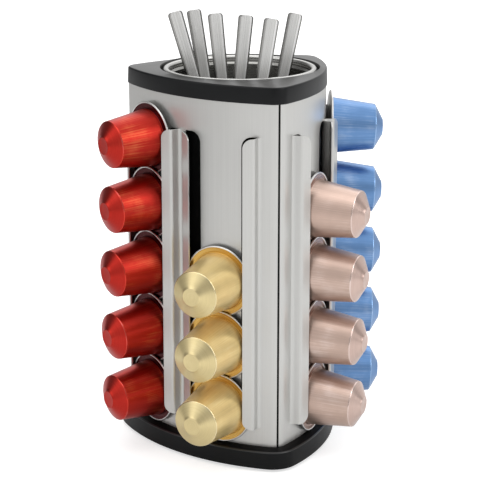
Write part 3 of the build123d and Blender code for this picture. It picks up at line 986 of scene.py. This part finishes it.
def capsule_profile():
    """(radius, height) points from the flange's back to the nub, and the paint number that follows each."""
    points = []
    paints = []

    def add(places, paint):
        points.extend(places)
        paints.extend([paint] * len(places))

    body, end, flange, edge, shoulder = range(5)
    add(FLANGE_BACK, edge)
    curl = FLANGE_RADIUS - CURL_RADIUS
    for k in range(CURL_STEPS + 1):
        a = -pi / 2 + CURL_SWEEP * k / CURL_STEPS
        add([(curl + CURL_RADIUS * cos(a), CURL_RADIUS + CURL_RADIUS * sin(a))], edge)
    add(FLANGE_FACE, flange)
    add(BODY_FOOT, body)
    slope = (BODY_RADIUS - SHOULDER_RADIUS) / (SHOULDER_AT - FLANGE_THICK)
    foot = BODY_FOOT[-1][1]
    body_top = SHOULDER_AT - CROWN_REACH
    for k in range(1, BODY_STEPS + 1):
        z = foot + (body_top - foot) * k / BODY_STEPS
        add([(BODY_RADIUS - slope * (z - FLANGE_THICK), z)], body)
    corner = (SHOULDER_RADIUS, SHOULDER_AT)
    crown = rounded([points[-1], corner, CONE_TOP], [CROWN_ROUND], CROWN_STEPS)[1:-1]
    low = tuple(crown[-1])
    add([tuple(p) for p in crown[:-1]], shoulder)
    add([low], end)
    for k in range(1, CONE_STEPS):
        t = k / CONE_STEPS
        add([(low[0] + (CONE_TOP[0] - low[0]) * t, low[1] + (CONE_TOP[1] - low[1]) * t)], end)
    add(NUB_SHAPE, end)
    return points, paints


COLUMNS = {"red": (0.0, -1), "gold": (0.0, 1), "rose": (TURN, -1), "blue": (TURN, 1)}
# How far each capsule above the lowest is turned on its axis, and its texture shifted
CAPSULE_SPIN = 1.3
CAPSULE_SHIFT = (0.37, 40.0)


def capsule_matrix(panel_turn, side, number):
    """Where a capsule hangs: its flange leans by the droop."""
    height = FIRST_CENTRE + number * PITCH
    a = radians(side * COLUMN_ANGLE)
    axes = Matrix(((cos(a), 0, sin(a), 0), (sin(a), 0, -cos(a), 0), (0, 1, 0, 0), (0, 0, 0, 1)))
    origin = Matrix.Translation(column_place(side, 0.0, FLANGE_OFF_PANEL, height))
    panel = Matrix.Rotation(radians(panel_turn), 4, "Z")
    return panel @ origin @ axes @ Matrix.Rotation(radians(DROOP), 4, "X")


def capsule_pieces():
    """The capsule shells."""
    points, paints = capsule_profile()
    for colour, (panel_turn, side) in COLUMNS.items():
        for number in range(LOADED[colour]):
            skin = Skin()
            lathe(skin, points, CAPSULE_SEGMENTS, 1.0, paints)
            across, along = (shift * number for shift in CAPSULE_SHIFT)
            skin.places = [[(u + across, v + along) for u, v in row] for row in skin.places]
            name = f"{colour}_{number + 1}"
            spin = Matrix.Rotation(CAPSULE_SPIN * number, 4, "Z")
            place = capsule_matrix(panel_turn, side, number) @ spin
            made = skin.build(f"shell_{name}", CAPSULE_PAINT[colour], place, sharp=60.0, closed=False)
            settle(made, f"capsule_{name}", f"capsule_{colour}", f"capsule_{name}")


# Spoons

SPOON_FACE_STEPS = 8
SPOON_TIP_STEPS = 14
SPOON_BOWL_STEPS = 10
SPOON_HANDLE_STEPS = 10
SPOON_END_STEPS = 7
SPOON_GRAIN_SHIFT = 37.0
SPHERE_SPARE = 1.0


def spoon_loop(width, thick):
    """(across, rise) points round a flat bar's section, its four edges cut by small chamfers."""
    half = thick / 2
    inner = width - min(HANDLE_CHAMFER, HANDLE_CHAMFER_SHARE * width)
    turns = [1 - 2 * k / SPOON_FACE_STEPS for k in range(SPOON_FACE_STEPS + 1)]
    face = [(inner * t, half * (1 - HANDLE_CROWN * t * t)) for t in turns]
    low = half * (1 - HANDLE_CROWN) / 2
    side = [(width, -low), (width, low)]
    other = [(-width, low), (-width, -low)]
    return side + face + other + [(x, -rise) for x, rise in reversed(face)]


def spoon_half_width(station):
    """Half a spoon's width at a distance from its tip."""
    tip = BOWL_LENGTH / 2
    t = (station - tip) / tip
    width = BOWL_WIDTH / 2 * sqrt(max(0.0, 1 - t * t))
    neck = HANDLE_NECK / 2
    top = HANDLE_WIDTH / 2
    low = BOWL_LENGTH - BOWL_NECK
    handle = neck + (top - neck) * max(0.0, station - low) / (SPOON_LENGTH - low)
    if station > tip:
        width = max(width, handle) if station < low - BOWL_NECK_LAP else handle
    rest = SPOON_LENGTH - station
    if rest < HANDLE_ROUND:
        width = width - corner_cut(rest, HANDLE_ROUND)
    return width


def spoon_stations():
    """Distances from the tip at which a spoon's rings stand."""
    tip = BOWL_LENGTH / 2
    round_start = SPOON_LENGTH - HANDLE_ROUND
    stations = []
    for k in range(SPOON_TIP_STEPS + 1):
        stations.append(tip * (1 - cos(pi / 2 * k / SPOON_TIP_STEPS)) + TIP_SETBACK)
    for k in range(1, SPOON_BOWL_STEPS + 1):
        stations.append(tip + (HANDLE_START - tip) * k / SPOON_BOWL_STEPS)
    for k in range(1, SPOON_HANDLE_STEPS + 1):
        stations.append(HANDLE_START + (round_start - HANDLE_START) * k / SPOON_HANDLE_STEPS)
    for k in range(1, SPOON_END_STEPS + 1):
        stations.append(round_start + HANDLE_ROUND * sin(pi / 2 * k / SPOON_END_STEPS))
    return stations


def spoon_rings():
    """A spoon's rings of points from tip to end, and how far along each stands."""
    tip = BOWL_LENGTH / 2
    stations = spoon_stations()
    rings = []
    for station in stations:
        width = max(LEAST_HALF_WIDTH, spoon_half_width(station))
        in_bowl = max(0.0, min(1.0, (BOWL_LENGTH + BOWL_FADE - station) / BOWL_FADE_LENGTH))
        in_bowl = in_bowl * in_bowl * (3 - 2 * in_bowl)
        thick = HANDLE_THICK + (BOWL_WALL - HANDLE_THICK) * in_bowl
        ring = []
        for x, rise in spoon_loop(width, thick):
            reach = min(BOWL_SPHERE**2 - SPHERE_SPARE, x * x + (station - tip) ** 2)
            hollow = BOWL_SPHERE - BOWL_DEEP - sqrt(BOWL_SPHERE**2 - reach)
            ring.append((x, hollow * in_bowl + rise, station))
        rings.append(ring)
    first = (0.0, sum(p[1] for p in rings[0]) / len(rings[0]), stations[0] - TIP_SETBACK)
    last = (0.0, 0.0, SPOON_LENGTH)
    return [[first]] + rings + [[last]], [0.0] + stations + [SPOON_LENGTH]


def spoon_matrix(across, lean, depth, lift):
    """The place of a spoon's lower end: its z runs up the handle."""
    low = CUP_FLOOR + SPOON_SEAT + lift
    foot_across = across - (RING_TOP - low) * tan(radians(lean))
    return (
        Matrix.Rotation(radians(FAN_ANGLE), 4, "Z")
        @ Matrix.Translation((foot_across, depth, low))
        @ Matrix.Rotation(radians(lean), 4, "Y")
    )


def spoon_pieces():
    """The spoons: edges painted dark as shade, with a strip of painted shade beside one and of painted
    highlight beside the other.
    """
    rings, along = spoon_rings()
    loop = spoon_loop(HANDLE_WIDTH / 2, HANDLE_THICK)
    across = lengths(loop + loop[:1])
    far = SPOON_FACE_STEPS + 2
    face, edge, shade, painted_glint = range(4)
    paint_of = {k: edge for k in (0, 1, far, far + 1, far + 2, len(loop) - 1)}
    paint_of[far + 3] = shade
    paint_of[len(loop) - 2] = painted_glint
    for number, stance in enumerate(SPOONS, 1):
        skin = Skin()
        skin.rings(rings, across, along)
        skin.places = [[(u + SPOON_GRAIN_SHIFT * number, v) for u, v in row] for row in skin.places]
        skin.paints = [paint_of.get(k % len(loop), face) for k in range(len(skin.faces))]
        paints = [SPOON_STEEL, SPOON_EDGE_SHADE, SPOON_PAINTED_SHADE, SPOON_PAINTED_GLINT]
        made = skin.build(f"teaspoon_{number}", paints, spoon_matrix(*stance), sharp=35.0)
        settle(made, f"spoon_{number}", "spoon_steel", f"spoon_{number}")


base_piece()
rim_piece()
well_piece()
cup_piece()
panel_pieces()
capsule_pieces()
spoon_pieces()

# Nodes whose own shapes are kept
KEPT_NODES = {
    "turntable_foot": INNER_BLACK,
    "grip_pad": RUBBER,
    "glide_ring": WHITE_GLIDE,
    "pivot_washer": ZINC,
    "pivot_screw": ZINC,
    "base_screws": ZINC,
    "post_front_right": INNER_BLACK,
    "post_back": INNER_BLACK,
    "post_front_left": INNER_BLACK,
}
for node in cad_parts:
    if node.startswith("lid_"):
        KEPT_NODES[node] = FOIL
for node, material in KEPT_NODES.items():
    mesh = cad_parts[node].data
    mesh.materials.clear()
    mesh.materials.append(material)


# Studio

AIM = Vector((0.0, 0.0, 0.10583))
CAMERA_AT = Vector((0.56491, -0.65093, 0.33918))
LENS = 126.93
FLOOR_SIDE = 6000.0
FLOOR_STEPS = 8
FLOOR_TONES = (0.60, 0.63)
# What the floor gives off to the camera, near and far, and to shiny surfaces, by side and by distance; what
# shiny surfaces see is dimmed near the tower as a painted shadow
FLOOR_LIFT = 0.62
FLOOR_LIFT_FAR = 0.8
FLOOR_LIFT_SPAN = (0.07, 0.6)
FLOOR_GLOSS = 0.40
FLOOR_GLOSS_DUSK = 0.0
DUSK_SIDE = -95.0
DUSK_SPAN = (-0.1, 0.3)
FLOOR_NEAR_SHADOW = 0.65
FLOOR_NEAR_SHADOW_SPAN = (0.06, 0.20)
WORLD_LIGHT = 0.83
WORLD_LOW = 0.9
WORLD_HIGH = 1.25
WORLD_HIGH_AT = 0.35
# Three dark boards and a bright one: azimuth, elevation, inner and outer half angle, and share of light
BOARDS = [
    (-82.0, 20.0, 12.0, 42.0, 0.15),
    (40.0, 24.0, 10.0, 32.0, 0.35),
    (128.0, 14.0, 8.0, 30.0, 0.30),
    (216.0, 47.0, 12.0, 30.0, 1.9),
]
# Each lamp's azimuth, elevation, distance, size and power
LAMPS = {
    "key": (-25.0, 42.0, 1.3, (0.7, 0.9), 1.5),
    "fill": (105.0, 30.0, 1.5, (0.6, 1.0), 5.2),
    "top": (30.0, 80.0, 1.4, (0.9, 0.9), 3.0),
}

camera = bpy.data.objects.new("camera", bpy.data.cameras.new("camera"))
bpy.context.scene.collection.objects.link(camera)
camera.data.lens = LENS
camera.data.sensor_width = 36.0
camera.data.clip_start = 0.05
camera.data.clip_end = 50.0
camera.location = CAMERA_AT
camera.rotation_mode = "QUATERNION"
camera.rotation_quaternion = (AIM - CAMERA_AT).to_track_quat("-Z", "Y")
bpy.context.scene.camera = camera


def direction(azimuth, elevation=0.0):
    """Toward a bearing round the tower, from its front, and a height."""
    a, e = radians(azimuth), radians(elevation)
    return (sin(a) * cos(e), -cos(a) * cos(e), sin(e))


def floor_piece():
    """A pale plain floor that shows white to the camera and to shiny surfaces, and keeps the shadow."""
    skin = Skin()
    lines = [FLOOR_SIDE * (k / FLOOR_STEPS - 0.5) for k in range(FLOOR_STEPS + 1)]
    for x0, x1 in zip(lines, lines[1:]):
        for y0, y1 in zip(lines, lines[1:]):
            corners = [skin.point(p) for p in ((x0, y0, 0), (x1, y0, 0), (x1, y1, 0), (x0, y1, 0))]
            skin.face(corners, ((0, 0), (1, 0), (1, 1), (0, 1)))
    paint = Paint("floor")
    cloud = paint.noise(paint.place(kind="Object"), scale=3.0, detail=3.0)
    dark, light = ((tone, tone, tone) for tone in FLOOR_TONES)
    paint.drive(paint.colours(cloud, [(0.3, dark), (0.7, light)]), "Base Color")
    paint.fix(Roughness=0.9, Specular_IOR_Level=0.1)
    path = paint.tree.nodes.new("ShaderNodeLightPath")
    away = paint.tree.nodes.new("ShaderNodeVectorMath")
    away.operation = "LENGTH"
    paint.join(paint.place(kind="Object"), away.inputs[0])
    whiten = paint.ramp(away.outputs["Value"], FLOOR_LIFT, FLOOR_LIFT_FAR, *FLOOR_LIFT_SPAN)
    dusk = paint.tree.nodes.new("ShaderNodeVectorMath")
    dusk.operation = "DOT_PRODUCT"
    dusk.inputs[1].default_value = direction(DUSK_SIDE)
    paint.join(paint.place(kind="Object"), dusk.inputs[0])
    mirrored = paint.ramp(dusk.outputs["Value"], FLOOR_GLOSS, FLOOR_GLOSS_DUSK, *DUSK_SPAN)
    to_camera = paint.math("MULTIPLY", path.outputs["Is Camera Ray"], whiten)
    # Dimmer near the tower: a painted shadow in what shiny surfaces see
    near = paint.ramp(away.outputs["Value"], FLOOR_NEAR_SHADOW, 1.0, *FLOOR_NEAR_SHADOW_SPAN)
    to_metal = paint.math("MULTIPLY", path.outputs["Is Glossy Ray"], paint.math("MULTIPLY", mirrored, near))
    paint.fix(Emission_Color=(1.0, 1.0, 1.0, 1.0))
    paint.drive(paint.math("ADD", to_camera, to_metal), "Emission Strength")
    made = skin.build("floor", [paint.material], closed=False)


def world_light():
    """White to the camera, and to everything else a soft upright gradient with the boards in it."""
    world = bpy.data.worlds.new("studio")
    bpy.context.scene.world = world
    world.use_nodes = True
    tree = world.node_tree
    tree.nodes.clear()
    new = tree.nodes.new
    join = tree.links.new
    output = new("ShaderNodeOutputWorld")
    path = new("ShaderNodeLightPath")
    shown = new("ShaderNodeBackground")
    shown.inputs["Color"].default_value = (1.0, 1.0, 1.0, 1.0)
    plain = new("ShaderNodeBackground")
    plain.inputs["Strength"].default_value = WORLD_LIGHT
    source = new("ShaderNodeTexCoord")
    split = new("ShaderNodeSeparateXYZ")
    join(source.outputs["Generated"], split.inputs["Vector"])
    ramp = new("ShaderNodeValToRGB")
    elements = ramp.color_ramp.elements
    elements[0].position, elements[0].color = 0.0, (WORLD_LOW, WORLD_LOW, WORLD_LOW, 1.0)
    elements[1].position, elements[1].color = WORLD_HIGH_AT, (WORLD_HIGH, WORLD_HIGH, WORLD_HIGH, 1.0)
    join(split.outputs["Z"], ramp.inputs["Fac"])
    level = ramp.outputs["Color"]
    for azimuth, elevation, inner, outer, share in BOARDS:
        toward = new("ShaderNodeVectorMath")
        toward.operation = "DOT_PRODUCT"
        toward.inputs[1].default_value = direction(azimuth, elevation)
        join(source.outputs["Generated"], toward.inputs[0])
        shade = new("ShaderNodeMapRange")
        shade.interpolation_type = "SMOOTHSTEP"
        shade.inputs["From Min"].default_value = cos(radians(outer))
        shade.inputs["From Max"].default_value = cos(radians(inner))
        shade.inputs["To Min"].default_value = 1.0
        shade.inputs["To Max"].default_value = share
        join(toward.outputs["Value"], shade.inputs["Value"])
        dimmed = new("ShaderNodeVectorMath")
        dimmed.operation = "SCALE"
        join(level, dimmed.inputs[0])
        join(shade.outputs["Result"], dimmed.inputs["Scale"])
        level = dimmed.outputs["Vector"]
    join(level, plain.inputs["Color"])
    mix = new("ShaderNodeMixShader")
    join(path.outputs["Is Camera Ray"], mix.inputs["Fac"])
    join(plain.outputs[0], mix.inputs[1])
    join(shown.outputs[0], mix.inputs[2])
    join(mix.outputs[0], output.inputs["Surface"])


def lamp(name, azimuth, elevation, distance, size, power):
    """A soft rectangular lamp that points at the tower."""
    data = bpy.data.lights.new(name, "AREA")
    data.shape = "RECTANGLE"
    data.size, data.size_y = size
    data.energy = power
    made = bpy.data.objects.new(name, data)
    back = Vector(direction(azimuth, elevation))
    made.location = AIM + back * distance
    made.rotation_mode = "QUATERNION"
    made.rotation_quaternion = (-back).to_track_quat("-Z", "Y")
    bpy.context.scene.collection.objects.link(made)


floor_piece()
world_light()
for name, setting in LAMPS.items():
    lamp(name, *setting)
bpy.context.scene.view_settings.view_transform = "Standard"
